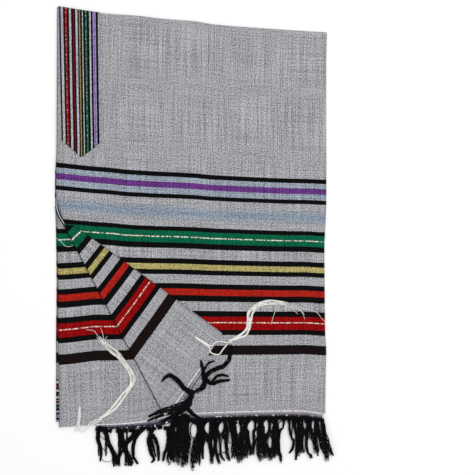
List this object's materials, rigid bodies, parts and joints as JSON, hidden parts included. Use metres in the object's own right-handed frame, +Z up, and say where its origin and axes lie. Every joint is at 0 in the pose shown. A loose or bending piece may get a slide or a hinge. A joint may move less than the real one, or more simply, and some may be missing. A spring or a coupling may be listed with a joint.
{
  "type": "folded prayer shawl",
  "caption": "Striped hand-woven prayer shawl folded in quarters and laid flat, one corner turned back, with a neck band, knotted fringe and loose corner threads.",
  "frame": {"origin": "centre of the folded shawl's bounding box, on the surface it lies on", "axes": "+X from the neck edge to the folded edge, +Y from the fringe to the top fold, +Z up from the surface"},
  "size_m": [0.6221, 1.0402, 0.0152],
  "materials": {
    "woven_cloth": "hand-woven grey melange with coloured stripes across",
    "striped_band": "narrow woven stripes with metallic lines",
    "black_yarn": "loose black yarn, knotted",
    "white_yarn": "loose twisted off-white yarn"
  },
  "bodies": {
    "root": {"front_panel": "woven_cloth", "under_panel": "woven_cloth", "hidden_layers": "woven_cloth", "neck_band": "striped_band", "corner_patch": "striped_band", "fringe_front": "black_yarn", "fringe_under": "black_yarn", "fringe_hidden": "black_yarn", "fringe_turned": "black_yarn", "tzitzit_under": "white_yarn", "tzitzit_turned": "white_yarn"}
  },
  "joints": []
}
